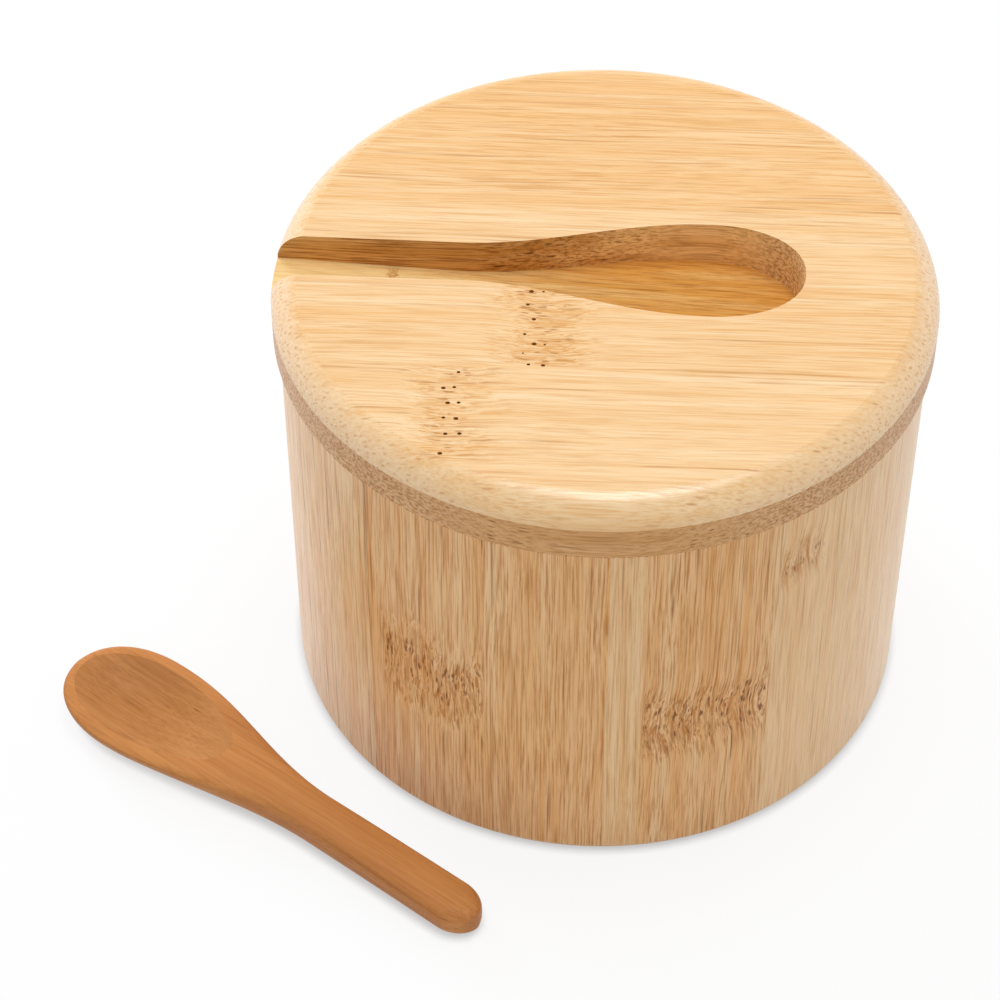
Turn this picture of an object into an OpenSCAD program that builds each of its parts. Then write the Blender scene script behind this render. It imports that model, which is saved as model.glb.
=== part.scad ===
// Bamboo salt box: a turned wall on a glued base disc, a lid that swings aside on a
// hidden pin and is held shut by a pair of magnets, and a spoon that lies in the lid's recess.
// Millimetres. The origin is the centre of the underside, +Z is up, and +X runs along
// the recess from the spoon's handle to its bowl.

/* [Box] */
// Outside diameter of the wall
wall_d = 88.4; // [72:0.2:120]
// Height of the wall, from the table to the rim that the lid lies on
wall_h = 61.5; // [40:0.5:100]
// Thickness of the wall
wall_t = 9; // [7.5:0.25:14]
// Radius of the round-over at the foot
foot_round = 1.5; // [0.5:0.25:3]
// Width of the bevels at the rim, inside and out
rim_bevel = 0.5; // [0.2:0.1:1]
// Thickness of the base disc
base_t = 6; // [4:0.5:12]
// Width of the step in the wall that the base disc is glued up against
base_step = 2.5; // [1.5:0.25:4]

/* [Lid] */
// How far the lid stands out past the wall all round
lid_overhang = 0.8; // [0:0.1:3]
// Thickness of the lid
lid_t = 8.7; // [7:0.1:14]
// Radius of the round-over on the lid's upper edge
lid_round = 3.6; // [1:0.1:5]
// Width of the bevel on the lid's lower edge
lid_bevel = 0.4; // [0.2:0.1:1]
// Wood left under the recess at the end that takes the spoon's bowl
recess_floor = 1.5; // [1:0.1:4]
// Rise of the recess's floor from the bowl's end to the rim of the lid
recess_rise = 3.1; // [0:0.1:4]
// Angle that the recess is turned by from X, about its bowl's end
recess_turn = -0.8; // [-3:0.1:3]

/* [Pivot and magnets] */
// Diameter of the pivot pin
pin_d = 4; // [3:0.25:5]
// Depth of the pin in the wall
pin_depth = 14; // [8:0.5:24]
// Wood left above the pin in the lid
pin_cover = 3.2; // [2:0.1:6]
// Diameter of each magnet
magnet_d = 6; // [4:0.25:6.5]
// Thickness of each magnet
magnet_t = 2; // [1:0.25:3]

/* [Spoon] */
// Length of the spoon
spoon_l = 74.5; // [60:0.5:88]
// Greatest width of the bowl
bowl_w = 17.7; // [12:0.1:24]
// Distance from the bowl's end to its widest place
bowl_reach = 12.7; // [9:0.1:18]
// Fullness of the bowl's outline: 2 is an ellipse and more is squarer
bowl_full = 2.15; // [2:0.05:2.6]
// Depth of the hollow in the bowl
hollow_depth = 1.7; // [0.8:0.1:2.5]
// Width of the rim round the hollow
hollow_rim = 1.3; // [0.8:0.1:2]
// Distance from the bowl's end to the end of the hollow
hollow_reach = 29; // [22:0.5:34]
// Width of the neck
neck_w = 6.9; // [5:0.1:9]
// Distance from the bowl's end to the neck
neck_reach = 46.2; // [36:0.1:52]
// Width of the handle near its end
end_w = 7.2; // [5:0.1:10]
// Length of the rounded end of the handle
end_round = 4.6; // [2:0.1:8]
// Thickness of the spoon
spoon_t = 5; // [3.5:0.1:6]
// Height of the arch under the handle
spoon_arch = 0.5; // [0:0.1:1.5]
// How far the handle stands out past the lid when the spoon lies in the recess
spoon_out = 3.2; // [0:0.1:12]
// Angle at which the spoon lies on the table
spoon_turn = -35.1; // [-60:0.1:0]
// Distance on the table from the wall to the spoon's centre line
spoon_aside = 12.5; // [11:0.1:40]
// Place of the bowl's end along the spoon's own line, from the middle of the box
spoon_along = -52.8; // [-80:0.1:-20]

/* [Clearances] */
// Clearance between the spoon and the sides of the recess
spoon_fit = 0.3; // [0.1:0.05:1]
// Running clearance round the pin in the lid, on the radius
pin_fit = 0.05; // [0.02:0.01:0.1]
// Clearance above the end of the pin
pin_end_gap = 0.4; // [0.2:0.1:1]
// Room for glue round the base disc and the magnets, on the radius
glue_gap = 0.05; // [0.02:0.01:0.1]
// Running gap between the rim and the lid
lid_gap = 0.1; // [0.05:0.05:0.3]

/* [Hidden] */

wall_r = wall_d / 2;
bore_r = wall_r - wall_t;
base_r = bore_r + base_step;
lid_r = wall_r + lid_overhang;
lid_z = wall_h + lid_gap;
// The pin and the magnets sit on the middle of the wall, at the back and at the front
seat_r = wall_r - wall_t / 2;
pin_in_lid = lid_t - pin_cover - pin_end_gap;
round_fn = 160;
small_fn = 48;
past = 1;

// The recess is the spoon's own outline with its clearance, run out through the rim
recess_tip = spoon_l - spoon_out - lid_r + spoon_fit;
recess_length = recess_tip + lid_r;
recess_depth = lid_t - recess_floor;
recess_tilt = atan(recess_rise / recess_length);

bowl_steps = 14;
shoulder_steps = 16;
handle_steps = 5;
end_steps = 7;
ring_sides = 32;
// The first and the last ring stop just short of the ends, so that each still has a width
ring_inset = 0.025;
end_inset = 0.3;

// The spoon's section: how far its edge lies below the bowl's rim, and how full each half is
arris = 0.9;
rim_full = 3.4;
keel_full = 2;
bar_full = 3;
// Share of the thickness lost at the bowl's tip and kept at the handle's end
tip_loss = 0.7;
end_keep = 0.55;
// How far the upper face drops at the bowl's tip and at the handle's end, as shares
tip_droop = 0.3;
end_droop = 0.2;

function clamp01(t) = min(max(t, 0), 1);
function ease(t) = (1 - cos(180 * clamp01(t))) / 2;
function mix(a, b, t) = a + (b - a) * t;
function power(v, n) = sign(v) * pow(abs(v), n);

// Half the width of the spoon at a distance from the bowl's end, grown by a clearance
function bowl_half(s, grow) =
    (bowl_w / 2 + grow) * pow(1 - pow(1 - s / (bowl_reach + grow), bowl_full), 1 / bowl_full);
function shoulder_half(s, grow) =
    grow + mix(bowl_w, neck_w, ease((s - grow - bowl_reach) / (neck_reach - bowl_reach))) / 2;
function handle_half(s, grow) =
    grow + mix(neck_w, end_w, (s - grow - neck_reach) / (spoon_l - neck_reach)) / 2;
function half_width(s, grow) =
    s < bowl_reach + grow ? bowl_half(s, grow)
    : s < neck_reach + grow ? shoulder_half(s, grow)
    : handle_half(s, grow);

// Distances from the bowl's end at which an outline has its points, as far as the neck
function stations(grow) = concat(
    [for (i = [0 : bowl_steps - 1]) (bowl_reach + grow) * (1 - cos(90 * i / bowl_steps))],
    [for (i = [0 : shoulder_steps]) grow + mix(bowl_reach, neck_reach, i / shoulder_steps)]);

// The spoon's section: a dished lens at the bowl that turns into a rounded bar at the neck
function bar_share(s) = ease((s - 1.5 * bowl_reach) / (neck_reach - 1.5 * bowl_reach));
function end_share(s) =
    s < spoon_l - end_round ? 1 : sqrt(max(1 - pow((s - spoon_l + end_round) / end_round, 2), 0));
function arch(s) = spoon_arch * sin(180 * clamp01((s - bowl_reach) / (spoon_l - bowl_reach)));
function keel(s) = s < bowl_reach ? 1 - tip_loss * (1 - sqrt(1 - pow(1 - s / bowl_reach, 2))) : 1;
function dish(s, y) = hollow_depth * max(0, 1
    - pow((s - (hollow_reach + hollow_rim) / 2) / ((hollow_reach - hollow_rim) / 2), 2)
    - pow(y / (bowl_w / 2 - hollow_rim), 2));
function ring_point(s, turn) =
    let (half = half_width(s, 0) * end_share(s),
         share = bar_share(s),
         thick = spoon_t * keel(s) * mix(end_keep, 1, end_share(s)),
         top = arch(s) + spoon_t - (spoon_t - thick) * (1 - keel(s)) * tip_droop
             - spoon_t * end_droop * (1 - end_share(s)),
         widest = top - mix(arris, thick / 2, share),
         low = top - thick,
         fullness = mix(sin(turn) > 0 ? rim_full : keel_full, bar_full, share),
         y = half * power(cos(turn), 2 / fullness),
         rise = power(abs(sin(turn)), 2 / fullness),
         z = sin(turn) > 0 ? mix(widest, top, rise) - dish(s, y) : mix(widest, low, rise))
    [s, y, z];
function ring(s) = [for (i = [0 : ring_sides - 1]) ring_point(s, 360 * i / ring_sides)];
ring_places = concat(
    [ring_inset],
    [for (s = stations(0)) if (s > 0) s],
    [for (i = [1 : handle_steps]) mix(neck_reach, spoon_l - end_round, i / handle_steps)],
    [for (i = [1 : end_steps]) spoon_l - end_round * (1 - sin(90 * i / (end_steps + end_inset)))]);

module revolve() rotate_extrude($fn = round_fn) children();

// What a round-over takes off a square corner that points to +X and +Y
module corner_waste(radius) {
    difference() {
        square(radius + past);
        circle(radius, $fn = 2 * small_fn);
    }
}

module wall_profile() {
    foot = min(foot_round, wall_t - base_step - 1);
    difference() {
        polygon([
            [base_r, 0], [wall_r, 0], [wall_r, wall_h - rim_bevel], [wall_r - rim_bevel, wall_h],
            [bore_r + rim_bevel, wall_h], [bore_r, wall_h - rim_bevel],
            [bore_r, base_t], [base_r, base_t]]);
        translate([wall_r - foot, foot])
        mirror([0, 1])
            corner_waste(foot);
    }
}

// Turned tube of laminated bamboo, with the grain upright
module body_wall() {
    color("#c99c66")
    difference() {
        revolve() wall_profile();
        translate([0, seat_r, wall_h - pin_depth])
            cylinder(d = pin_d, h = pin_depth + past, $fn = small_fn);
        translate([0, -seat_r, wall_h - magnet_t])
            cylinder(r = magnet_d / 2 + glue_gap, h = magnet_t + past, $fn = small_fn);
    }
}

// Bamboo disc glued into the foot of the wall, flush with the underside
module base_disc() {
    color("#d8b27c")
        cylinder(r = base_r - glue_gap, h = base_t, $fn = round_fn);
}

// Steel pin pressed into the back of the wall, on which the lid turns
module pivot_pin() {
    color("#b9bcc0")
    translate([0, seat_r, wall_h - pin_depth])
        cylinder(d = pin_d, h = pin_depth + lid_gap + pin_in_lid, $fn = small_fn);
}

// Disc magnet sunk flush into the rim at the front
module body_magnet() {
    color("#c9cbce")
    translate([0, -seat_r, wall_h - magnet_t])
        cylinder(d = magnet_d, h = magnet_t, $fn = small_fn);
}

module lid_profile() {
    difference() {
        polygon([[0, 0], [lid_r - lid_bevel, 0], [lid_r, lid_bevel], [lid_r, lid_t], [0, lid_t]]);
        translate([lid_r - lid_round, lid_t - lid_round])
            corner_waste(lid_round);
    }
}

module recess() {
    side = [for (s = stations(spoon_fit)) [-s, half_width(s, spoon_fit)]];
    run_out = recess_length + past;
    outline = concat(side,
        [[-run_out, handle_half(run_out, spoon_fit)], [-run_out, -handle_half(run_out, spoon_fit)]],
        [for (i = [len(side) - 1 : -1 : 1]) [side[i][0], -side[i][1]]]);
    translate([recess_tip, 0, lid_t - recess_depth])
    rotate([0, recess_tilt, recess_turn])
        linear_extrude(height = recess_depth + recess_rise + past)
            polygon(outline);
}

// Bamboo disc with the grain along X, a routed recess for the spoon, and blind
// holes underneath for the pin and the magnet
module lid() {
    color("#e6bd80")
    translate([0, 0, lid_z])
    difference() {
        revolve() lid_profile();
        recess();
        translate([0, seat_r, -past])
            cylinder(r = pin_d / 2 + pin_fit, h = past + pin_in_lid + pin_end_gap, $fn = small_fn);
        translate([0, -seat_r, -past])
            cylinder(r = magnet_d / 2 + glue_gap, h = past + magnet_t, $fn = small_fn);
    }
}

// Disc magnet sunk flush into the underside of the lid, over the one in the rim
module lid_magnet() {
    color("#c9cbce")
    translate([0, -seat_r, lid_z])
        cylinder(d = magnet_d, h = magnet_t, $fn = small_fn);
}

// Carved spoon of darker bamboo, lying on the table beside the box
module spoon() {
    count = len(ring_places);
    points = [for (s = ring_places) each ring(s)];
    sides = [for (j = [0 : count - 2], i = [0 : ring_sides - 1])
        let (a = j * ring_sides + i, b = j * ring_sides + (i + 1) % ring_sides)
        each [[a, b, b + ring_sides], [a, b + ring_sides, a + ring_sides]]];
    first_cap = [for (i = [1 : ring_sides - 2]) [0, i + 1, i]];
    last = (count - 1) * ring_sides;
    last_cap = [for (i = [1 : ring_sides - 2]) [last, last + i, last + i + 1]];
    color("#b9773a")
    rotate([0, 0, spoon_turn])
    translate([spoon_along, -wall_r - spoon_aside, 0])
        polyhedron(points = points, faces = concat(sides, first_cap, last_cap), convexity = 6);
}

body_wall();
base_disc();
pivot_pin();
body_magnet();
lid();
lid_magnet();
spoon();
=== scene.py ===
"""Bamboo salt box with a swivel lid and its spoon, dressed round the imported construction."""

import math

import bpy
import bmesh
from mathutils import Matrix, Vector


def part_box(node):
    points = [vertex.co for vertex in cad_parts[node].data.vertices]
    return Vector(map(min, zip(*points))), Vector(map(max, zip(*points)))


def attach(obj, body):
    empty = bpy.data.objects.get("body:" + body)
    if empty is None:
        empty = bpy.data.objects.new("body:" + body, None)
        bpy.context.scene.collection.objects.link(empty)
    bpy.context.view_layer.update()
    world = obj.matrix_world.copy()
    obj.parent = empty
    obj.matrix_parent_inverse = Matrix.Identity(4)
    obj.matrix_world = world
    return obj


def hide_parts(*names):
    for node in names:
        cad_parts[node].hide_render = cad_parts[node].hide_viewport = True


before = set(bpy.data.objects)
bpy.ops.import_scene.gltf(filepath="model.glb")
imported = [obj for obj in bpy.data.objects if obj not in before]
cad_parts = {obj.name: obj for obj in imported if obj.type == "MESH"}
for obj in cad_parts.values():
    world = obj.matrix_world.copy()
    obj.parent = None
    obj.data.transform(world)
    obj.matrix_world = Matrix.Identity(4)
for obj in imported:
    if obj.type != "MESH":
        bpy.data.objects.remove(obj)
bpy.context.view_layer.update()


# Camera. It stands in front of the box and looks down on it at about 46 degrees, as the photograph does,
# through a long lens that keeps the wall nearly upright. The angles are in radians.
MM = 0.001
camera_distance = 306.5 * MM
camera_height = 347.5 * MM
camera_pitch = 0.811
camera_yaw = -0.0465
camera_roll = 0.0046
sensor_width = 36.0
lens = 110.57

camera_data = bpy.data.cameras.new("camera")
camera_data.sensor_width = sensor_width
camera_data.lens = lens
camera = bpy.data.objects.new("camera", camera_data)
bpy.context.scene.collection.objects.link(camera)
bpy.context.scene.camera = camera
ahead = Vector((math.sin(camera_yaw) * math.cos(camera_pitch),
                math.cos(camera_yaw) * math.cos(camera_pitch),
                -math.sin(camera_pitch)))
right = Vector((math.cos(camera_yaw), -math.sin(camera_yaw), 0.0))
turn = Matrix((right, right.cross(ahead), -ahead)).transposed().to_4x4()
camera.matrix_world = (Matrix.Translation((0, -camera_distance, camera_height)) @ turn
                       @ Matrix.Rotation(-camera_roll, 4, "Z"))


# Studio. A white table top and white surroundings, with one broad soft light overhead and two bluish
# ones behind the box, which whiten the wall where it turns away at the left and right.
def linear(code):
    """Turns an sRGB hex colour into linear RGBA."""
    parts = [int(code[i:i + 2], 16) / 255 for i in (1, 3, 5)]
    return [p / 12.92 if p <= 0.04045 else ((p + 0.055) / 1.055) ** 2.4 for p in parts] + [1.0]


def add(tree, kind, inputs=None, out=0, **settings):
    """Adds a node with its settings, links or sets its inputs, and returns one of its outputs."""
    node = tree.nodes.new(kind)
    for name, value in settings.items():
        setattr(node, name, value)
    for key, value in (inputs or {}).items():
        if isinstance(value, bpy.types.NodeSocket):
            tree.links.new(value, node.inputs[key])
        else:
            node.inputs[key].default_value = value
    return node.outputs[out] if node.outputs else node


def blank(name):
    """A material with an empty node tree and its output."""
    material = bpy.data.materials.new(name)
    material.use_nodes = True
    material.node_tree.nodes.clear()
    return material, material.node_tree


def directly_seen(tree):
    """1 for what the camera sees itself, in a reflection or through glass, and 0 for lighting."""
    path = add(tree, "ShaderNodeLightPath").node
    seen = add(tree, "ShaderNodeMath", {0: path.outputs["Is Camera Ray"],
               1: path.outputs["Is Glossy Ray"]}, operation="MAXIMUM")
    return add(tree, "ShaderNodeMath", {0: seen, 1: path.outputs["Is Transmission Ray"]},
               operation="MAXIMUM")


bpy.context.scene.view_settings.view_transform = "Standard"
world = bpy.data.worlds.new("studio")
bpy.context.scene.world = world
world.use_nodes = True
world.node_tree.nodes.clear()
tree = world.node_tree
fill_strength = 0.58
seen = directly_seen(tree)
level = add(tree, "ShaderNodeMapRange", {"Value": seen, "To Min": fill_strength, "To Max": 1.0})
glow = add(tree, "ShaderNodeBackground", {"Color": (1, 1, 1, 1), "Strength": level})
add(tree, "ShaderNodeOutputWorld", {"Surface": glow})


def soft_light(name, place, aim, size, power, tint=(1.0, 1.0, 1.0), mirrored=True):
    """A square softbox that faces a point. One that isn't mirrored leaves no highlight."""
    data = bpy.data.lights.new(name, "AREA")
    data.shape = "SQUARE"
    data.size = size
    data.energy = power
    data.color = tint
    lamp = bpy.data.objects.new(name, data)
    lamp.location = place
    lamp.visible_glossy = mirrored
    lamp.rotation_mode = "QUATERNION"
    lamp.rotation_quaternion = (Vector(aim) - Vector(place)).to_track_quat("-Z", "Y")
    bpy.context.scene.collection.objects.link(lamp)


soft_light("overhead", place=(0.04, 0.05, 0.8), aim=(0, 0, 0.05), size=0.3, power=1.94)
soft_light("left_side", place=(-0.50, 0.60, 0.26), aim=(0, 0, 0.03), size=0.35, power=3.5,
           tint=(0.9, 0.99, 1.24), mirrored=False)
soft_light("right_side", place=(0.50, 0.60, 0.14), aim=(0, 0, 0.03), size=0.35, power=1.05,
           tint=(0.8, 0.97, 1.3), mirrored=False)

floor_half = 3.0
floor_glow = 0.86
floor_grey_in_light, floor_grey_seen = 0.85, 0.97
shadow_reach = 2.5 * MM
shadow_full, shadow_none = 0.35, 0.75
shadow_level = 0.6

floor_mesh = bpy.data.meshes.new("floor")
floor_mesh.from_pydata([(x * floor_half, y * floor_half, 0)
                        for x, y in ((-1, -1), (1, -1), (1, 1), (-1, 1))], [], [(0, 1, 2, 3)])
floor = bpy.data.objects.new("floor", floor_mesh)
bpy.context.scene.collection.objects.link(floor)

# Matt white board that glows to the camera, so that it stays white. Ambient occlusion dims its glow into a
# thin grey line of painted shadow where a piece stands on it, over the faint real shadow of its matt part
floor_paint, tree = blank("white_table_top")
seen = directly_seen(tree)
share = add(tree, "ShaderNodeMath", {0: seen, 1: floor_glow}, operation="MULTIPLY")
grey = add(tree, "ShaderNodeMapRange", {"Value": seen, "To Min": floor_grey_in_light,
           "To Max": floor_grey_seen})
matt = add(tree, "ShaderNodeBsdfDiffuse", {"Color": grey})
# Painted shadow: near a piece the glow is dimmed by ambient occlusion, not by the lights
painted_contact_shadow = add(tree, "ShaderNodeAmbientOcclusion", {"Distance": shadow_reach}, out="AO", samples=8)
painted_contact_shadow = add(tree, "ShaderNodeMapRange", {"Value": painted_contact_shadow, "From Min": shadow_full,
              "From Max": shadow_none, "To Min": shadow_level, "To Max": 1.0})
white = add(tree, "ShaderNodeEmission", {"Color": (1, 1, 1, 1), "Strength": painted_contact_shadow})
both = add(tree, "ShaderNodeMixShader", {0: share, 1: matt, 2: white})
add(tree, "ShaderNodeOutputMaterial", {"Surface": both})
floor_mesh.materials.append(floor_paint)


# Wall. A tube turned from a block of upright bamboo strips glued side by side, sanded and oiled.
# Its strips are seen as bands of slightly different tan with dark fibres and a few knots.
def arc(centre, radius, start, stop, steps):
    """Points of a profile's round corner, as (radius, height)."""
    angles = [math.radians(start + (stop - start) * i / steps) for i in range(steps + 1)]
    return [(centre[0] + radius * math.cos(a), centre[1] + radius * math.sin(a)) for a in angles]


def turned(name, profile, steps=288):
    """A mesh turned on the lathe: the profile runs from the axis, or closes on itself round a bore."""
    mesh = bpy.data.meshes.new(name)
    shape = bmesh.new()
    closed = profile[0][0] > 0
    rings = []
    for radius, height in profile:
        if radius == 0:
            rings.append([shape.verts.new((0, 0, height))])
        else:
            rings.append([shape.verts.new((radius * math.cos(2 * math.pi * i / steps),
                                           radius * math.sin(2 * math.pi * i / steps), height))
                          for i in range(steps)])
    pairs = list(zip(rings, rings[1:])) + ([(rings[-1], rings[0])] if closed else [])
    for low, high in pairs:
        if len(low) == 1:
            shape.faces.new(list(reversed(high)))
        elif len(high) == 1:
            shape.faces.new(low)
        else:
            for i in range(steps):
                j = (i + 1) % steps
                shape.faces.new((low[i], low[j], high[j], high[i]))
    loose = [v for v in shape.verts if not v.link_faces]
    bmesh.ops.delete(shape, geom=loose, context="VERTS")
    bmesh.ops.recalc_face_normals(shape, faces=shape.faces)
    shape.to_mesh(mesh)
    shape.free()
    piece = bpy.data.objects.new(name, mesh)
    bpy.context.scene.collection.objects.link(piece)
    return piece


def apply_modifier(piece, kind, **settings):
    """Adds a modifier, bakes its result into the mesh and removes it."""
    modifier = piece.modifiers.new(kind.lower(), kind)
    for key, value in settings.items():
        setattr(modifier, key, value)
    result = bpy.data.meshes.new_from_object(piece.evaluated_get(bpy.context.evaluated_depsgraph_get()))
    old = piece.data
    piece.modifiers.remove(modifier)
    piece.data = result
    bpy.data.meshes.remove(old)


def cut(piece, cutter):
    """Takes the cutter's shape out of the piece. The new faces keep the cutter's materials."""
    weld = 0.001 * MM
    apply_modifier(piece, "BOOLEAN", operation="DIFFERENCE", object=cutter, solver="EXACT",
                   material_mode="TRANSFER")
    bpy.data.objects.remove(cutter)
    shape = bmesh.new()
    shape.from_mesh(piece.data)
    bmesh.ops.remove_doubles(shape, verts=shape.verts, dist=weld)
    shape.to_mesh(piece.data)
    shape.free()


def bore(piece, place, radius, low, high):
    """Drills a round hole or pocket in the piece, from one height to another."""
    bit = turned("bit", [(0, low), (radius, low), (radius, high), (0, high)], steps=64)
    bit.location = (*place, 0)
    bit.data.materials.append(piece.data.materials[0])
    bpy.context.view_layer.update()
    cut(piece, bit)


def smooth(piece, angle=32):
    """Shades the piece smooth except where it has a real edge."""
    for face in piece.data.polygons:
        face.use_smooth = True
    piece.data.set_sharp_from_angle(angle=math.radians(angle))


def bamboo(name, order, seams, light, middle, streak, dark, turn=0.0, contrast=1.0, spacing=0.8,
           lean=0.006, wander=0.5, knots=(), layer=None, pale_to_dark=None, end_grain=None, mottling=0.5,
           roughness=0.4, shine=0.5, sheen=0.0, seed=1.0):
    """Laminated bamboo, sanded and oiled. Lengths are in millimetres.

    order names the axes across the strips, through the board and along the grain. The fibre
    bundles are rods along the grain, so a long face shows them as streaks and an end as dots.
    A seam is (place, step in tone) and a knot (low, high, place, reach, strength). Behind the
    depth layer, a second layer of strips has other fibres and no knots. scorch is (pale place,
    dark place, share) along the grain, and end_grain is the colour of a cut across it. Each grid
    is the number of a pattern's cells in a millimetre: across, through and along the grain.
    """
    material, tree = blank(name)
    seen_from = add(tree, "ShaderNodeTexCoord").node
    place = add(tree, "ShaderNodeVectorRotate", {"Vector": seen_from.outputs["Object"], "Angle": turn},
                rotation_type="Z_AXIS")
    place = add(tree, "ShaderNodeVectorMath", {0: place, "Scale": 1 / MM}, operation="SCALE")
    split = add(tree, "ShaderNodeSeparateXYZ", {0: place}).node
    across, depth, along = (split.outputs["XYZ".index(axis)] for axis in order)

    # Each strip has its own tone and its own run of fibres, and a pale strip shows fewer of them
    first_tone, dark_tone = 0.4, 0.7
    fewest, most = 0.45 * contrast, 1.15 * contrast
    next_run = (23.7, 11.3, 137.0)
    next_layer = 7.0
    strip, tone = seed, first_tone
    for seam, step in seams:
        past = add(tree, "ShaderNodeMath", {0: across, 1: seam}, operation="GREATER_THAN")
        strip = add(tree, "ShaderNodeMath", {0: past, 1: strip}, operation="ADD")
        tone = add(tree, "ShaderNodeMath", {0: past, 1: step, 2: tone}, operation="MULTIPLY_ADD")
    if layer is not None:
        front = add(tree, "ShaderNodeMath", {0: depth, 1: layer}, operation="LESS_THAN")
        strip = add(tree, "ShaderNodeMath", {0: front, 1: next_layer, 2: strip}, operation="MULTIPLY_ADD")
    # A shift of tone along the grain, from a pale place to a dark place. On the recess floor it is painted
    # light and shade
    if pale_to_dark:
        tone_along = add(tree, "ShaderNodeMapRange", {"Value": along, "From Min": pale_to_dark[0],
                    "From Max": pale_to_dark[1], "To Min": -pale_to_dark[2], "To Max": pale_to_dark[2]},
                    interpolation_type="SMOOTHSTEP")
        tone = add(tree, "ShaderNodeMath", {0: tone, 1: tone_along}, operation="ADD")
    force = add(tree, "ShaderNodeMapRange", {"Value": tone, "From Min": 0.0, "From Max": dark_tone,
                "To Min": fewest, "To Max": most})
    shift = add(tree, "ShaderNodeVectorMath", {0: next_run, "Scale": strip}, operation="SCALE")
    grain = add(tree, "ShaderNodeCombineXYZ", {0: across, 1: depth, 2: along})
    grain = add(tree, "ShaderNodeVectorMath", {0: grain, 1: shift}, operation="ADD")

    # A knot's zone crosses one strip, with a ragged edge along the grain: tongues 3 mm wide
    tongue_grid = (0.3, 0.3, 0.08)
    tongue_reach, fading = 1.6, 1.5
    soft_in, soft_out = 0.5, 0.1
    more_lines = 0.5
    ragged = add(tree, "ShaderNodeVectorMath", {0: grain, 1: tongue_grid}, operation="MULTIPLY")
    ragged = add(tree, "ShaderNodeTexNoise", {"Vector": ragged, "Scale": 1.0, "Detail": 3.0})
    knot = 0.0
    for low, high, centre, reach, strength in knots:
        edge = add(tree, "ShaderNodeMath", {0: across, 1: (low + high) / 2}, operation="SUBTRACT")
        edge = add(tree, "ShaderNodeMath", {0: edge}, operation="ABSOLUTE")
        edge = add(tree, "ShaderNodeMapRange", {"Value": edge, "From Min": (high - low) / 2 - soft_in,
                   "From Max": (high - low) / 2 + soft_out, "To Min": strength, "To Max": 0.0})
        away = add(tree, "ShaderNodeMath", {0: ragged, 1: reach * tongue_reach,
                   2: -centre - reach * tongue_reach / 2}, operation="MULTIPLY_ADD")
        away = add(tree, "ShaderNodeMath", {0: along, 1: away}, operation="ADD")
        away = add(tree, "ShaderNodeMath", {0: away}, operation="ABSOLUTE")
        near = add(tree, "ShaderNodeMapRange", {"Value": away, "From Min": 0.0, "From Max": reach * fading,
                   "To Min": 1.0, "To Max": 0.0}, interpolation_type="SMOOTHSTEP")
        knot = add(tree, "ShaderNodeMath", {0: edge, 1: near, 2: knot}, operation="MULTIPLY_ADD")
    if layer is not None:
        knot = add(tree, "ShaderNodeMath", {0: front, 1: knot}, operation="MULTIPLY")
    force = add(tree, "ShaderNodeMath", {0: knot, 1: more_lines, 2: force}, operation="MULTIPLY_ADD")

    # The bundles wander a little over 55 mm and lean against the face, and turn in and out of it
    # at a knot, where they swirl over 2 to 5 mm
    wander_grid, swirl_grid = (0.1, 0.1, 0.018), (0.5, 0.5, 0.22)
    wander_push, swirl_push = (4 * wander, 4 * wander, 0), (1.4, 1.4, 0)
    slow = add(tree, "ShaderNodeVectorMath", {0: grain, 1: wander_grid}, operation="MULTIPLY")
    slow = add(tree, "ShaderNodeTexNoise", {"Vector": slow, "Scale": 1.0, "Detail": 1.0}, out="Color")
    slow = add(tree, "ShaderNodeVectorMath", {0: slow, 1: wander_push}, operation="MULTIPLY")
    quick = add(tree, "ShaderNodeVectorMath", {0: grain, 1: swirl_grid}, operation="MULTIPLY")
    quick = add(tree, "ShaderNodeTexNoise", {"Vector": quick, "Scale": 1.0, "Detail": 2.0}, out="Color")
    quick = add(tree, "ShaderNodeVectorMath", {0: quick, 1: swirl_push}, operation="MULTIPLY")
    quick = add(tree, "ShaderNodeVectorMath", {0: quick, "Scale": knot}, operation="SCALE")
    tilt = add(tree, "ShaderNodeMath", {0: along, 1: lean}, operation="MULTIPLY")
    tilt = add(tree, "ShaderNodeCombineXYZ", {0: 0.0, 1: tilt, 2: 0.0})
    fibre = add(tree, "ShaderNodeVectorMath", {0: grain, 1: slow}, operation="ADD")
    fibre = add(tree, "ShaderNodeVectorMath", {0: fibre, 1: quick}, operation="ADD")
    fibre = add(tree, "ShaderNodeVectorMath", {0: fibre, 1: tilt}, operation="ADD")

    # Where the face cuts across the grain, every bundle shows its end
    cut_starts, cut_full, cut_share = 0.2, 0.6, 0.7
    facing = add(tree, "ShaderNodeSeparateXYZ", {0: seen_from.outputs["Normal"]}, out="XYZ".index(order[2]))
    facing = add(tree, "ShaderNodeMath", {0: facing}, operation="ABSOLUTE")
    facing = add(tree, "ShaderNodeMapRange", {"Value": facing, "From Min": cut_starts,
                 "From Max": cut_full, "To Min": 0.0, "To Max": cut_share}, interpolation_type="SMOOTHSTEP")

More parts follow.
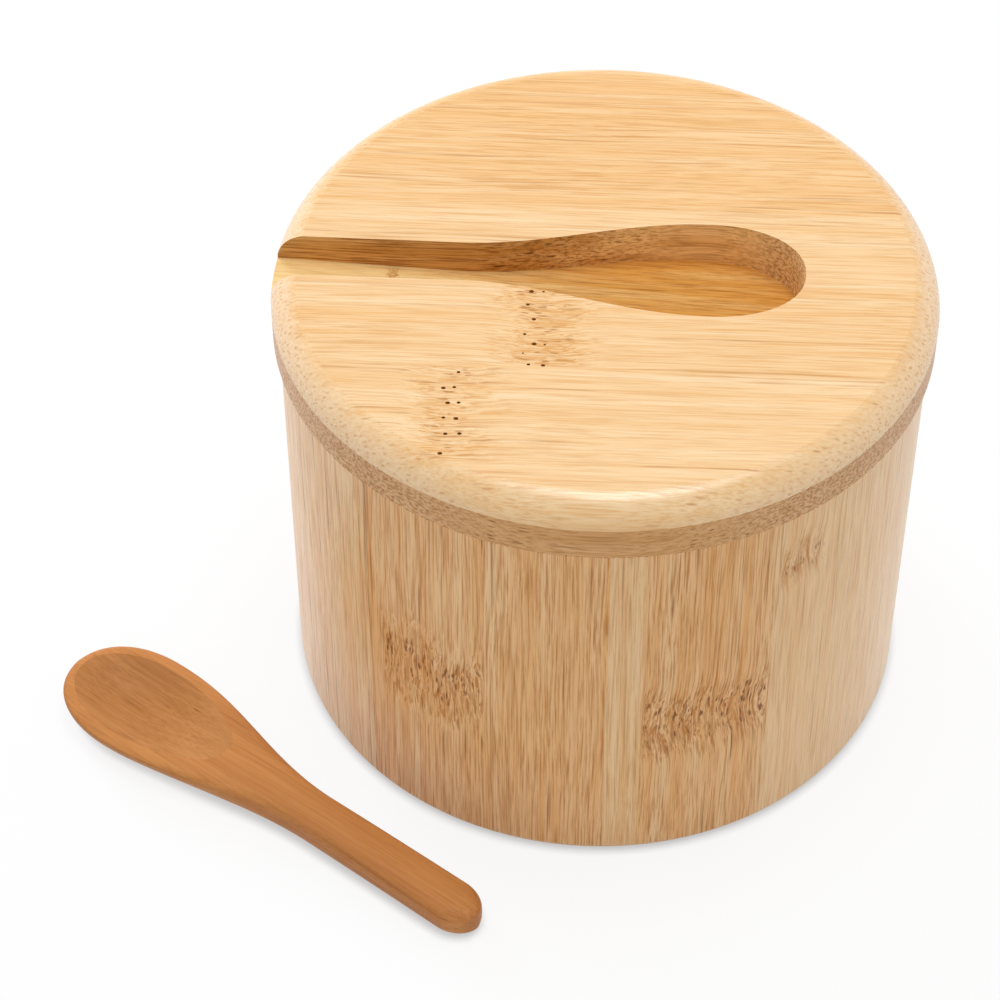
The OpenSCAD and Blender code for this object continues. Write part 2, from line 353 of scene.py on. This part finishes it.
    # Bundles about 0.3 mm thick, some dark and some faint, each dark for about 9 mm at a time. The
    # fibre between them is drawn 0.2 mm thick and 11 mm long, ten times coarser than it is, so that
    # it shows, and the strip's colour drifts in bands 1.7 mm wide
    dark_core, dark_skin = 0.07, 0.28
    faint, faint_share = 0.1, 0.2
    fade_grid, hair_grid, band_grid = (0.9, 0.9, 0.11), (4.5, 4.5, 0.09), (0.6, 0.6, 0.012)
    faded = 0.15
    rods = add(tree, "ShaderNodeTexVoronoi", {"Vector": fibre, "Scale": 1 / spacing, "Randomness": 0.9},
               voronoi_dimensions="2D").node
    bundle = add(tree, "ShaderNodeMapRange", {"Value": rods.outputs["Distance"], "From Min": dark_core,
                 "From Max": dark_skin, "To Min": 1.0, "To Max": 0.0}, interpolation_type="SMOOTHSTEP")
    chance = add(tree, "ShaderNodeSeparateColor", {0: rods.outputs["Color"]})
    chance = add(tree, "ShaderNodeMapRange", {"Value": chance, "From Min": faint_share, "To Min": faint,
                 "To Max": 1.0})
    fade = add(tree, "ShaderNodeVectorMath", {0: fibre, 1: fade_grid}, operation="MULTIPLY")
    fade = add(tree, "ShaderNodeTexNoise", {"Vector": fade, "Scale": 1.0, "Detail": 1.0})
    fade = add(tree, "ShaderNodeMapRange", {"Value": fade, "From Min": 0.36, "From Max": 0.62,
               "To Min": faded, "To Max": 1.0}, interpolation_type="SMOOTHSTEP")
    chance = add(tree, "ShaderNodeMath", {0: chance, 1: fade}, operation="MULTIPLY")
    chance = add(tree, "ShaderNodeMath", {0: chance, 1: facing}, operation="MAXIMUM")
    bundle = add(tree, "ShaderNodeMath", {0: bundle, 1: chance}, operation="MULTIPLY")
    hair = add(tree, "ShaderNodeVectorMath", {0: fibre, 1: hair_grid}, operation="MULTIPLY")
    hair = add(tree, "ShaderNodeTexNoise", {"Vector": hair, "Scale": 1.0, "Detail": 3.0, "Roughness": 0.65})
    band = add(tree, "ShaderNodeVectorMath", {0: fibre, 1: band_grid}, operation="MULTIPLY")
    band = add(tree, "ShaderNodeTexNoise", {"Vector": band, "Scale": 1.0, "Detail": 3.0, "Roughness": 0.6})

    # At a knot they break up into short dark dashes, up to 0.5 mm by 2 mm with ragged ends, among
    # fine flecks 3 mm long and an amber stain that runs out over 7 mm
    fleck_grid, dash_grid, stain_grid = (3.5, 3.5, 0.3), (1.5, 1.5, 0.4), (2.0, 2.0, 0.14)
    fraying = -0.2
    fleck = add(tree, "ShaderNodeVectorMath", {0: fibre, 1: fleck_grid}, operation="MULTIPLY")
    fleck = add(tree, "ShaderNodeTexNoise", {"Vector": fleck, "Scale": 1.0, "Detail": 2.0})
    fleck = add(tree, "ShaderNodeMapRange", {"Value": fleck, "From Min": 0.5, "From Max": 0.62},
                interpolation_type="SMOOTHSTEP")
    dash = add(tree, "ShaderNodeVectorMath", {0: grain, 1: quick}, operation="ADD")
    dash = add(tree, "ShaderNodeVectorMath", {0: dash, 1: dash_grid}, operation="MULTIPLY")
    dash = add(tree, "ShaderNodeTexVoronoi", {"Vector": dash, "Scale": 1.0, "Randomness": 1.0})
    dash = add(tree, "ShaderNodeMath", {0: fleck, 1: fraying, 2: dash}, operation="MULTIPLY_ADD")
    dash = add(tree, "ShaderNodeMapRange", {"Value": dash, "From Min": 0.04, "From Max": 0.3,
               "To Min": 1.0, "To Max": 0.0}, interpolation_type="SMOOTHSTEP")
    heart = add(tree, "ShaderNodeMapRange", {"Value": knot, "From Min": 0.35, "From Max": 0.75},
                interpolation_type="SMOOTHSTEP")
    dash = add(tree, "ShaderNodeMath", {0: dash, 1: heart}, operation="MULTIPLY")
    bundle = add(tree, "ShaderNodeMath", {0: bundle, 1: dash}, operation="MAXIMUM")
    fleck = add(tree, "ShaderNodeMath", {0: fleck, 1: knot}, operation="MULTIPLY")
    stain = add(tree, "ShaderNodeVectorMath", {0: fibre, 1: stain_grid}, operation="MULTIPLY")
    stain = add(tree, "ShaderNodeTexNoise", {"Vector": stain, "Scale": 1.0, "Detail": 3.0})
    stain = add(tree, "ShaderNodeMapRange", {"Value": stain, "From Min": 0.42, "From Max": 0.66},
                interpolation_type="SMOOTHSTEP")
    stain = add(tree, "ShaderNodeMath", {0: stain, 1: knot}, operation="MULTIPLY")

    # The soft wood between them is mottled where it is cut across, in spots of about 0.4 mm
    mottle_grid = (2.7, 2.7, 1.2)
    mottle = add(tree, "ShaderNodeVectorMath", {0: grain, 1: mottle_grid}, operation="MULTIPLY")
    mottle = add(tree, "ShaderNodeTexNoise", {"Vector": mottle, "Scale": 1.0, "Detail": 2.0})
    mottle = add(tree, "ShaderNodeMapRange", {"Value": mottle, "From Min": 0.45, "From Max": 0.58},
                 interpolation_type="SMOOTHSTEP")
    pith = add(tree, "ShaderNodeMath", {0: mottle, 1: mottling}, operation="MULTIPLY")
    pith = add(tree, "ShaderNodeMix", {0: pith, 6: linear(end_grain or middle), 7: linear(streak)}, out=2,
               data_type="RGBA")

    # Colours, from the pale ground to the darkest fibre
    drift, hair_share, fleck_share, stain_share, line_share, end_paling = 0.4, 0.8, 0.4, 0.4, 0.85, 0.3
    ground = add(tree, "ShaderNodeMapRange", {"Value": band, "From Min": 0.32, "From Max": 0.68,
                 "To Min": -drift, "To Max": drift})
    ground = add(tree, "ShaderNodeMath", {0: ground, 1: tone}, operation="ADD", use_clamp=True)
    colour = add(tree, "ShaderNodeMix", {0: ground, 6: linear(light), 7: linear(middle)}, out=2,
                 data_type="RGBA")
    fine = add(tree, "ShaderNodeMapRange", {"Value": hair, "From Min": 0.44, "From Max": 0.66,
               "To Min": 0.0, "To Max": hair_share})
    fine = add(tree, "ShaderNodeMath", {0: fine, 1: force}, operation="MULTIPLY")
    fine = add(tree, "ShaderNodeMath", {0: fleck, 1: fleck_share, 2: fine}, operation="MULTIPLY_ADD")
    fine = add(tree, "ShaderNodeMath", {0: stain, 1: stain_share, 2: fine}, operation="MULTIPLY_ADD",
               use_clamp=True)
    colour = add(tree, "ShaderNodeMix", {0: fine, 6: colour, 7: linear(streak)}, out=2, data_type="RGBA")
    colour = add(tree, "ShaderNodeMix", {0: facing, 6: colour, 7: pith}, out=2, data_type="RGBA")
    lines = add(tree, "ShaderNodeMath", {0: bundle, 1: force}, operation="MULTIPLY")
    lines = add(tree, "ShaderNodeMath", {0: lines, 1: line_share}, operation="MULTIPLY", use_clamp=True)
    paler = add(tree, "ShaderNodeMath", {0: facing, 1: end_paling}, operation="MULTIPLY")
    ink = add(tree, "ShaderNodeMix", {0: paler, 6: linear(dark), 7: linear(streak)}, out=2,
              data_type="RGBA")
    colour = add(tree, "ShaderNodeMix", {0: lines, 6: colour, 7: ink}, out=2, data_type="RGBA")

    # Sanding leaves the bundles a little below the fibre, and oil makes the surface softly glossy
    sink, relief, relief_share = -0.5, 0.05 * MM, 0.3
    smoother, rougher = roughness - 0.04, roughness + 0.08
    height = add(tree, "ShaderNodeMath", {0: bundle, 1: sink, 2: hair}, operation="MULTIPLY_ADD")
    dent = add(tree, "ShaderNodeBump", {"Height": height, "Strength": relief_share, "Distance": relief})
    gloss = add(tree, "ShaderNodeMapRange", {"Value": hair, "From Min": 0.3, "From Max": 0.7,
                "To Min": smoother, "To Max": rougher})
    shader = add(tree, "ShaderNodeBsdfPrincipled", {"Base Color": colour, "Roughness": gloss,
                 "Normal": dent, "IOR": 1.5, "Specular IOR Level": shine, "Sheen Weight": sheen,
                 "Sheen Roughness": 0.3})
    add(tree, "ShaderNodeOutputMaterial", {"Surface": shader})
    return material


_, wall_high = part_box("body_wall")
_, disc_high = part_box("base_disc")
wall_radius = 44.2 * MM
wall_height = wall_high.z
wall_thickness = 9 * MM
foot_round = 1.5 * MM
rim_bevel = 0.5 * MM
disc_radius = disc_high.x
disc_top = disc_high.z
bore_radius = wall_radius - wall_thickness
glue_gap = 0.05 * MM

profile = [(disc_radius + glue_gap, 0)]
profile += arc((wall_radius - foot_round, foot_round), foot_round, start=-90, stop=0, steps=10)
profile += [(wall_radius, wall_height - rim_bevel), (wall_radius - rim_bevel, wall_height),
            (bore_radius + rim_bevel, wall_height), (bore_radius, wall_height - rim_bevel),
            (bore_radius, disc_top), (disc_radius + glue_gap, disc_top)]
wall = turned("turned_wall", profile)

# Oiled and rubbed to a dull sheen: light honey with long dark fibres, paler on the cut rim
wall_seams = [(-50.0, -0.18), (-30.5, 0.26), (-14.5, 0.02), (1.8, -0.35), (6.6, 0.35), (23.8, -0.5)]
wall_knots = [(6.6, 23.6, 27.5, 6.5, 1.0), (-29.0, -14.6, 31.0, 7.0, 0.75),
              (23.8, 30.0, 52.5, 4.0, 0.85)]
wall.data.materials.append(bamboo(
    "upright_bamboo", "XYZ", wall_seams, "#f9d29e", "#f0b169", "#c78138", "#8e5210",
    knots=wall_knots, layer=0.0, lean=0.01, contrast=1.25, end_grain="#f1d3a6",
    roughness=0.3, shine=0.25, sheen=0.12, seed=-5.0))

# The rim is drilled for the pin at the back and for the magnet at the front. A tool starts 1 mm
# outside the surface that it enters
seat_radius = (wall_radius + bore_radius) / 2
pin_radius = 2.0 * MM
pin_depth = 14.0 * MM
magnet_radius = 3.0 * MM
magnet_thick = 2.0 * MM
outside = 1 * MM
bore(wall, (0, seat_radius), pin_radius + glue_gap,
     low=wall_height - pin_depth, high=wall_height + outside)
bore(wall, (0, -seat_radius), magnet_radius + glue_gap,
     low=wall_height - magnet_thick, high=wall_height + outside)
smooth(wall)
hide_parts("body_wall")
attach(wall, "box")


# Base disc. A round of flat bamboo board, glued into the step in the foot of the wall. Its edges
# are broken with sandpaper, so a fine seam shows round it.
disc_bevel = 0.3 * MM
disc = turned("base_panel", [
    (0, 0), (disc_radius - disc_bevel, 0), (disc_radius, disc_bevel),
    (disc_radius, disc_top - disc_bevel), (disc_radius - disc_bevel, disc_top), (0, disc_top)])

# Oiled once and less finely sanded: plain tan, with a weaker gloss than the lid's
disc.data.materials.append(bamboo(
    "flat_bamboo_base", "YZX", [(-19.0, 0.3), (1.0, -0.25), (20.0, 0.2)],
    "#f6cf94", "#e6b270", "#cb8a42", "#995c26", seed=9.0))
smooth(disc)
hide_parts("base_disc")
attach(disc, "box")


# Pivot pin. A ground steel pin, pressed into the back of the wall. Its free end stands in the lid's
# blind bore, and the lid turns on it.
def ground_steel(name):
    """Steel ground between centres: bright, with fine scratches round the pin."""
    # The scratches are drawn 0.1 mm apart, several times coarser than they are, so that they show
    scratch_grid = (0.06 / MM, 0.06 / MM, 9 / MM)
    material, tree = blank(name)
    place = add(tree, "ShaderNodeTexCoord", out="Object")
    place = add(tree, "ShaderNodeVectorMath", {0: place, 1: scratch_grid}, operation="MULTIPLY")
    scratch = add(tree, "ShaderNodeTexNoise", {"Vector": place, "Scale": 1.0, "Detail": 3.0})
    dent = add(tree, "ShaderNodeBump", {"Height": scratch, "Strength": 0.25, "Distance": 0.01 * MM})
    gloss = add(tree, "ShaderNodeMapRange", {"Value": scratch, "From Min": 0.35, "From Max": 0.65,
                "To Min": 0.22, "To Max": 0.36})
    tint = add(tree, "ShaderNodeMix", {0: scratch, 6: linear("#c6c7c8"), 7: linear("#b0b2b5")}, out=2,
               data_type="RGBA")
    shader = add(tree, "ShaderNodeBsdfPrincipled", {"Base Color": tint, "Roughness": gloss,
                 "Metallic": 1.0, "Normal": dent})
    add(tree, "ShaderNodeOutputMaterial", {"Surface": shader})
    return material


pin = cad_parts["pivot_pin"]
for slot in pin.material_slots:
    slot.material = ground_steel("ground_steel")


# Magnets. Two neodymium discs with bright nickel plating, sunk flush and glued into the front of the
# rim and of the lid's underside, one over the other.
def nickel_plate(name):
    """Bright nickel over pressed powder: a soft mirror with a faint orange peel, 0.5 mm across."""
    material, tree = blank(name)
    place = add(tree, "ShaderNodeTexCoord", out="Object")
    peel = add(tree, "ShaderNodeTexNoise", {"Vector": place, "Scale": 2 / MM, "Detail": 2.0})
    dent = add(tree, "ShaderNodeBump", {"Height": peel, "Strength": 0.2, "Distance": 0.02 * MM})
    gloss = add(tree, "ShaderNodeMapRange", {"Value": peel, "From Min": 0.35, "From Max": 0.65,
                "To Min": 0.12, "To Max": 0.22})
    tint = add(tree, "ShaderNodeMix", {0: peel, 6: linear("#d3d0c9"), 7: linear("#c4c0b8")}, out=2,
               data_type="RGBA")
    shader = add(tree, "ShaderNodeBsdfPrincipled", {"Base Color": tint, "Roughness": gloss,
                 "Metallic": 1.0, "Normal": dent})
    add(tree, "ShaderNodeOutputMaterial", {"Surface": shader})
    return material


plated = nickel_plate("bright_nickel")
for name in ("body_magnet", "lid_magnet"):
    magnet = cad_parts[name]
    for slot in magnet.material_slots:
        slot.material = plated


# Lid. A disc of flat bamboo board with its upper edge rounded over, sanded fine and oiled. A recess
# for the spoon is routed into it and deepens towards the bowl.
lid_low, lid_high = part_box("lid")
lid_radius = 45.0 * MM
lid_under, lid_top = lid_low.z, lid_high.z
lid_round = 3.6 * MM
lid_bevel = 0.4 * MM
top_margin = 0.3 * MM
profile = [(0, lid_under), (lid_radius - lid_bevel, lid_under), (lid_radius, lid_under + lid_bevel)]

# The round-over turns through 72 degrees, so it leaves a faint line at the top and at the side
lid_sweep = 72
bit_radius = lid_round * math.sqrt(2) / (2 * math.sin(math.radians(lid_sweep / 2)))
bit_reach = bit_radius * math.cos(math.radians(lid_sweep / 2)) / math.sqrt(2) + lid_round / 2
profile += arc((lid_radius - bit_reach, lid_top - bit_reach), bit_radius,
               start=45 - lid_sweep / 2, stop=45 + lid_sweep / 2, steps=20)
profile += [(lid_radius - lid_round - top_margin, lid_top), (0, lid_top)]
lid = turned("lid_board", profile)

# The recess follows the spoon's outline, grown by its clearance, and deepens towards the bowl
spoon_length = 74.5 * MM
bowl_width = 17.7 * MM
bowl_reach = 12.7 * MM
bowl_full = 2.15
neck_width = 6.9 * MM
neck_reach = 46.2 * MM
end_width = 7.2 * MM
spoon_out = 3.2 * MM
spoon_fit = 0.3 * MM
recess_floor = 1.5 * MM
recess_rise = 3.1 * MM
recess_turn = math.radians(-0.8)
recess_tip = spoon_length - spoon_out - lid_radius + spoon_fit
recess_length = recess_tip + lid_radius
recess_tilt = math.atan2(recess_rise, recess_length)


def half_width(s, grow):
    """Half the spoon's width at a distance from the bowl's end, grown by a clearance."""
    if s < bowl_reach + grow:
        share = 1 - s / (bowl_reach + grow)
        return (bowl_width / 2 + grow) * (1 - share ** bowl_full) ** (1 / bowl_full)
    if s < neck_reach + grow:
        share = (s - grow - bowl_reach) / (neck_reach - bowl_reach)
        blend = (1 - math.cos(math.pi * share)) / 2
        return grow + (bowl_width + (neck_width - bowl_width) * blend) / 2
    share = (s - grow - neck_reach) / (spoon_length - neck_reach)
    return grow + (neck_width + (end_width - neck_width) * share) / 2


def stations(grow, bowl_steps, shoulder_steps):
    """Distances from the bowl's end at which an outline has its points, as far as the neck."""
    bowl = [(bowl_reach + grow) * (1 - math.cos(math.pi / 2 * i / bowl_steps)) for i in range(bowl_steps)]
    return bowl + [grow + bowl_reach + (neck_reach - bowl_reach) * i / shoulder_steps
                   for i in range(shoulder_steps + 1)]


run_out = recess_length + outside
side = [(-s, half_width(s, spoon_fit))
        for s in stations(spoon_fit, bowl_steps=26, shoulder_steps=40)]
side.append((-run_out, half_width(run_out, spoon_fit)))
outline = side + [(x, -y) for x, y in reversed(side[1:])]
tall = 12 * MM
cutter_mesh = bpy.data.meshes.new("recess")
shape = bmesh.new()
floor_ring = [shape.verts.new((x, y, 0)) for x, y in outline]
sky_ring = [shape.verts.new((x, y, tall)) for x, y in outline]
shape.faces.new(floor_ring).material_index = 1
shape.faces.new(sky_ring)
for i in range(len(outline)):
    j = (i + 1) % len(outline)
    shape.faces.new((floor_ring[i], floor_ring[j], sky_ring[j], sky_ring[i]))
bmesh.ops.recalc_face_normals(shape, faces=shape.faces)
shape.to_mesh(cutter_mesh)
shape.free()
cutter = bpy.data.objects.new("recess", cutter_mesh)
bpy.context.scene.collection.objects.link(cutter)
cutter.matrix_world = (Matrix.Translation((recess_tip, 0, lid_under + recess_floor))
                       @ Matrix.Rotation(recess_turn, 4, "Z") @ Matrix.Rotation(recess_tilt, 4, "Y"))

# One board has one grain, so all four materials share its seams, its knots and its small turn. The recess's
# sides are darker and duller than the top, most of all along the handle
lid_seams = [(-19.5, 0.15), (-3.0, -0.1), (12.2, 0.3), (30.5, 0.1)]
lid_knots = [(-19.4, -3.0, -8.0, 5.5, 0.95), (-37.2, -19.6, -18.8, 5.5, 0.75),
             (15.0, 34.0, -6.0, 12.0, 0.2)]
floor_knot = (1.2, 3.6, -28.8, 0.9, 1.2)
board = {"turn": math.radians(0.67), "seed": 5.0}
cutter_mesh.materials.append(bamboo(
    "routed_bamboo_wall", "YZX", lid_seams, "#ffd896", "#d69c4c", "#a3682a", "#704414", **board,
    knots=lid_knots, pale_to_dark=(10.0, -14.0, 0.3), contrast=1.3, end_grain="#f0d09c", mottling=0.7,
    roughness=0.6, shine=0.25))

# The recess's floor is painted paler at the handle's end, as light where the narrow channel lies in shade,
# and browner towards the deep end for the bowl, as painted shade
cutter_mesh.materials.append(bamboo(
    "routed_bamboo_floor", "YZX", lid_seams, "#ffde9a", "#e4a54e", "#bf7a2c", "#a5641e", **board,
    knots=lid_knots + [floor_knot], pale_to_dark=(-34.0, 5.0, 0.52), contrast=0.85,
    roughness=0.5, shine=0.25))

# The top is sanded finest: the palest and glossiest face, and its round-over shows cut fibres
lid.data.materials.append(bamboo(
    "flat_bamboo_lid", "YZX", lid_seams, "#fedcaa", "#f6c37f", "#e0a04e", "#c08034", **board,
    knots=lid_knots, contrast=0.9, spacing=0.85, end_grain="#fadab0", mottling=0.35,
    roughness=0.25, shine=0.85))

# The upright edge is a browner copy of the top's bamboo, painted shade for the side that faces away from
# the light overhead, with streaks at the front and dots at the ends
lid.data.materials.append(bamboo(
    "bamboo_edge_painted_shade", "YZX", lid_seams, "#ebb97e", "#d89f5c", "#b97b3d", "#895423", **board,
    knots=lid_knots, spacing=0.7, contrast=1.2, end_grain="#e8bc8c", mottling=0.9,
    shine=0.3, sheen=0.05))
# Faces that stand upright take the browner copy with its painted shade
upright_from = 0.995
for face in lid.data.polygons:
    if math.hypot(face.normal.x, face.normal.y) > upright_from:
        face.material_index = 1
bpy.context.view_layer.update()
cut(lid, cutter)

# Sandpaper takes the sharpness off the recess's rim
sanded_arris = 0.18 * MM
apply_modifier(lid, "BEVEL", width=sanded_arris, segments=2, limit_method="ANGLE",
               angle_limit=math.radians(50), harden_normals=False)

# Sap channels ended at the two knots: small holes across their strips, dark inside, as
# (along the grain, across it, radius) in millimetres
sap_holes = [
    (-18.6, -20.8, 0.28), (-20.4, -23.8, 0.33), (-19.0, -23.6, 0.27), (-19.7, -26.5, 0.35),
    (-18.3, -26.4, 0.28), (-20.1, -29.2, 0.28), (-18.5, -29.3, 0.36), (-19.7, -32.1, 0.32),
    (-17.9, -32.0, 0.32), (-20.2, -35.6, 0.35), (-9.7, -5.0, 0.36), (-8.1, -5.0, 0.2),
    (-10.1, -7.6, 0.28), (-9.2, -10.4, 0.33), (-10.3, -13.3, 0.26), (-9.0, -15.1, 0.37),
    (-7.6, -15.2, 0.2), (-10.4, -16.9, 0.16), (-9.6, -19.0, 0.26), (-7.7, -19.1, 0.32)]
hole_depth = 0.4 * MM
hole_sides = 14
hole_bottom, hole_mouth = 0.4, 0.75
along_grain = 1.25
hole_mesh = bpy.data.meshes.new("sap_holes")
shape = bmesh.new()
for x, y, r in sap_holes:
    rings = []
    for height, share in ((-hole_depth, hole_bottom), (0.0, hole_mouth), (hole_depth, hole_mouth)):
        rings.append([shape.verts.new(
            ((x + along_grain * r * share * math.cos(2 * math.pi * i / hole_sides)) * MM,
             (y + r * share * math.sin(2 * math.pi * i / hole_sides)) * MM,
             lid_top + height)) for i in range(hole_sides)])
    for low, high in zip(rings, rings[1:]):
        for i in range(hole_sides):
            j = (i + 1) % hole_sides
            shape.faces.new((low[i], low[j], high[j], high[i]))
    shape.faces.new(list(reversed(rings[0])))
    shape.faces.new(rings[-1])
shape.to_mesh(hole_mesh)
shape.free()
holes = bpy.data.objects.new("sap_holes", hole_mesh)
bpy.context.scene.collection.objects.link(holes)

# Dried sap under the oil: a rough brown crust, without a highlight
sap, tree = blank("dried_sap")
place = add(tree, "ShaderNodeTexCoord", out="Object")
crust = add(tree, "ShaderNodeTexNoise", {"Vector": place, "Scale": 3 / MM, "Detail": 3.0})
brown = add(tree, "ShaderNodeMix", {0: crust, 6: linear("#b8783a"), 7: linear("#865224")}, out=2,
            data_type="RGBA")
dent = add(tree, "ShaderNodeBump", {"Height": crust, "Strength": 0.3, "Distance": 0.05 * MM})
crusty = add(tree, "ShaderNodeBsdfPrincipled", {"Base Color": brown, "Roughness": 0.8, "Normal": dent,
             "IOR": 1.5, "Specular IOR Level": 0.2})
add(tree, "ShaderNodeOutputMaterial", {"Surface": crusty})
hole_mesh.materials.append(sap)
bpy.context.view_layer.update()
cut(lid, holes)

# Underneath are the blind bore that turns on the pin, and the magnet's pocket
pin_cover = 3.2 * MM
bore(lid, (0, seat_radius), pin_radius + glue_gap,
     low=lid_under - outside, high=lid_top - pin_cover)
bore(lid, (0, -seat_radius), magnet_radius + glue_gap,
     low=lid_under - outside, high=lid_under + magnet_thick)
smooth(lid, angle=7)
apply_modifier(lid, "WEIGHTED_NORMAL", keep_sharp=True, weight=90)
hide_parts("lid")
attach(lid, "lid")


# Spoon. Carved from one piece of darker, steamed bamboo: a shallow scraped hollow in the bowl, and
# a handle with softened edges. It lies on the table in front of the box.
spoon_thick = 5.0 * MM
spoon_arch = 0.5 * MM
spoon_arris = 0.9 * MM
tip_thinning = 0.7
end_round = 4.6 * MM
end_thickness = 0.55
bar_start = 1.5 * bowl_reach
hollow_rim = 1.3 * MM
hollow_end = 29 * MM
hollow_edge = 0.35
hollow_past = 1.2
hollow_depth = 1.7 * MM
spoon_turn = math.radians(-35.1)
spoon_place = (-52.8 * MM, -wall_radius - 12.5 * MM)

# How full each rounded shape is: 2 is an ellipse, and a higher number is squarer
bowl_above, bowl_below, bar_section, hollow_blunt = 3.4, 2, 3, 3.0


def mix(a, b, t):
    """A value between a and b."""
    return a + (b - a) * t


def ease(t):
    """A share from 0 to 1 that starts and ends gently."""
    return (1 - math.cos(math.pi * min(max(t, 0), 1))) / 2


def end_share(s):
    """How much of the width is left where the handle's end rounds off."""
    into_end = max(s - spoon_length + end_round, 0) / end_round
    return math.sqrt(max(1 - into_end ** 2, 0))


def keel(s):
    """The share of the thickness that the bowl keeps towards its tip."""
    return 1 - tip_thinning * (1 - math.sqrt(1 - max(1 - max(s, 0) / bowl_reach, 0) ** 2))


def thickness(s):
    """The spoon's thickness along its middle."""
    return spoon_thick * keel(s) * mix(end_thickness, 1, end_share(s))


def top_line(s):
    """The height of the spoon's upper face along its middle, a little lower at its two ends."""
    tip_drop, end_drop = 0.3, 0.2
    part = min(max((s - bowl_reach) / (spoon_length - bowl_reach), 0), 1)
    return (spoon_arch * math.sin(math.pi * part) + spoon_thick
            - (spoon_thick - thickness(s)) * (1 - keel(s)) * tip_drop
            - spoon_thick * end_drop * (1 - end_share(s)))


def spoon_point(s, angle):
    """A point of the cross-section before the hollow is scraped out: a boat, then a rounded bar."""
    half = half_width(s, 0) * end_share(s)
    bar = ease((s - bar_start) / (neck_reach - bar_start))
    thick = thickness(s)
    top = top_line(s)
    widest = top - mix(spoon_arris, thick / 2, bar)
    upper = math.sin(angle) > 0
    fullness = mix(bowl_above if upper else bowl_below, bar_section, bar)
    y = half * math.copysign(abs(math.cos(angle)) ** (2 / fullness), math.cos(angle))
    rise = abs(math.sin(angle)) ** (2 / fullness)
    return s, y, mix(widest, top if upper else top - thick, rise)


def skin(name, rings):
    """A closed mesh over a row of rings, with a cap at each end."""
    mesh = bpy.data.meshes.new(name)
    shape = bmesh.new()
    rows = [[shape.verts.new(point) for point in ring] for ring in rings]
    count = len(rows[0])
    for low, high in zip(rows, rows[1:]):
        for i in range(count):
            j = (i + 1) % count
            shape.faces.new((low[i], low[j], high[j], high[i]))
    shape.faces.new(rows[0])
    shape.faces.new(rows[-1])
    bmesh.ops.recalc_face_normals(shape, faces=shape.faces)
    shape.to_mesh(mesh)
    shape.free()
    piece = bpy.data.objects.new(name, mesh)
    bpy.context.scene.collection.objects.link(piece)
    return piece


straight = spoon_length - end_round - neck_reach
straight_steps, end_steps = 40, 18
around = 96
marks = stations(0, bowl_steps=60, shoulder_steps=70)[1:]
marks += [neck_reach + straight * i / straight_steps for i in range(1, straight_steps + 1)]
marks += [spoon_length - end_round * (1 - math.sin(math.pi / 2 * i / end_steps))
          for i in range(1, end_steps)]
spoon = skin("carved_spoon", [[spoon_point(s, 2 * math.pi * (i + 0.5) / around) for i in range(around)]
                              for s in marks])

# The hollow is an egg, blunter towards the handle, and its shape runs on above the spoon's face
hollow_rings, hollow_around = 30, 144
rings = []
for k in range(1, hollow_rings + 1):
    r = hollow_past * k / hollow_rings
    dip = hollow_depth * (1 - r ** 2) * (mix(hollow_edge, 1, 1 - r ** 2) if r < 1 else 1)
    ring = []
    for i in range(hollow_around):
        angle = 2 * math.pi * (i + 0.5) / hollow_around
        blunt = 2 / (hollow_blunt if math.cos(angle) > 0 else bowl_full)
        u = r * math.copysign(abs(math.cos(angle)) ** blunt, math.cos(angle))
        v = r * math.copysign(abs(math.sin(angle)) ** blunt, math.sin(angle))
        s = bowl_reach + u * ((hollow_end if u > 0 else 2 * bowl_reach - hollow_rim) - bowl_reach)
        y = v * (half_width(max(s, bowl_reach), 0) - hollow_rim)
        ring.append((s, y, top_line(s) - dip))
    rings.append(ring)
scraper = skin("hollow", rings)

# Steamed until the sugar in it browns: an even caramel with faint fibres, rubbed with oil
spoon.data.materials.append(bamboo(
    "steamed_bamboo", "YZX", [], "#d39151", "#bd793f", "#a6632c", "#7e4515", turn=-spoon_turn,
    contrast=0.55, lean=0.02, roughness=0.45, shine=0.25, seed=11.0))

# Scraped and not sanded, the hollow is duller and darker, and pales where it runs out at the handle
scraper.data.materials.append(bamboo(
    "scraped_steamed_bamboo", "YZX", [], "#c98b50", "#b1743b", "#9a5f29", "#784216",
    turn=-spoon_turn, pale_to_dark=(-27.0, -36.0, 0.2), contrast=0.55, lean=0.05, roughness=0.5,
    shine=0.25, seed=11.0))
bpy.context.view_layer.update()
cut(spoon, scraper)
smooth(spoon, angle=50)

# The hollow keeps a crisp rim
shape = bmesh.new()
shape.from_mesh(spoon.data)
for edge in shape.edges:
    faces = edge.link_faces
    if len(faces) == 2 and faces[0].material_index != faces[1].material_index:
        edge.smooth = False
shape.to_mesh(spoon.data)
shape.free()
spoon.data.transform(Matrix.Rotation(spoon_turn, 4, "Z")
                     @ Matrix.Translation((*spoon_place, 0)))
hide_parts("spoon")
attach(spoon, "spoon")
